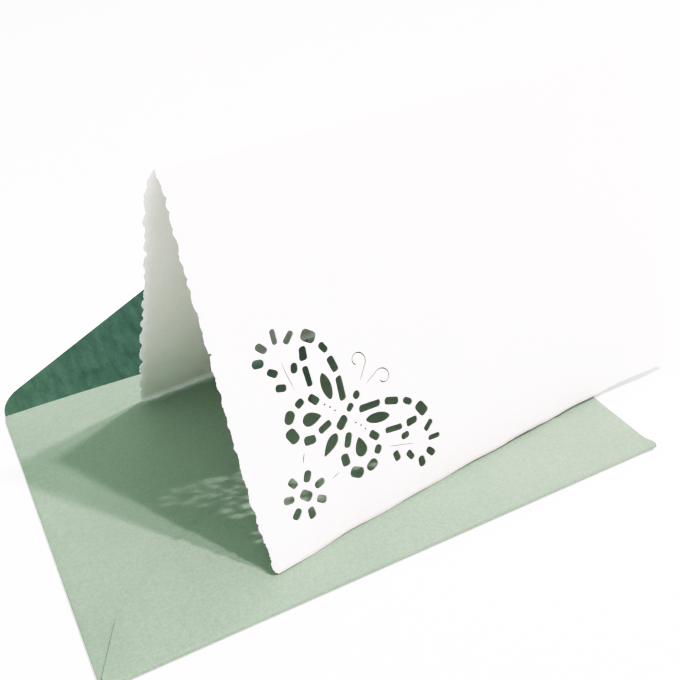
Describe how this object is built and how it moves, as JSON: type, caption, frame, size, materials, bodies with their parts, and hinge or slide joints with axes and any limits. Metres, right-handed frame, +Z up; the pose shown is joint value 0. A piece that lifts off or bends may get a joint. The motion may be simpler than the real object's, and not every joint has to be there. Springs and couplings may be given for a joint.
{
  "type": "greeting card and envelope",
  "caption": "Folded cotton-paper greeting card with a cut-out butterfly corner, standing as a tent on its open pointed-flap envelope.",
  "frame": {"origin": "centre of the envelope's underside, on the surface that the envelope lies on", "axes": "+X along the envelope's long side, +Y from its bottom fold towards the open top flap, +Z up"},
  "size_m": [0.2162, 0.1876, 0.103],
  "materials": {
    "cotton_card": "matte white cotton card with torn edges",
    "green_outer": "pale sage green pearl paper, fine grain",
    "green_inner": "deep green inner side of the pearl paper",
    "green_flap": "deep mottled green inner side of the top flap"
  },
  "bodies": {
    "envelope": {"envelope_face_panel": "green_inner", "envelope_left_side_flap": "green_outer", "envelope_right_side_flap": "green_outer", "envelope_bottom_flap": "green_outer"},
    "top_flap": {"envelope_top_flap": "green_flap"},
    "card_back": {"card_back_leaf": "cotton_card"},
    "card_front": {"card_front_leaf": "cotton_card"}
  },
  "joints": [
    {"name": "top_flap_hinge", "type": "hinge", "parent": "envelope", "child": "top_flap", "pos_m": [0, 0.05845, 0.0003], "axis": [1, 0, 0], "range_deg": [0, 90]},
    {"name": "card_foot", "type": "hinge", "parent": "envelope", "child": "card_back", "pos_m": [-0.04795, 0.04215, 0.0018], "axis": [0.9951, 0.0985, 0], "range_deg": [-22.35, 64.55]},
    {"name": "card_fold", "type": "hinge", "parent": "card_back", "child": "card_front", "pos_m": [-0.04362, -0.00168, 0.1032], "axis": [-0.9951, -0.0985, 0], "range_deg": [-44.6, 129]}
  ],
  "couplings": [
    {"joint": "card_foot", "follows": "card_fold", "ratio": 0.5}
  ]
}
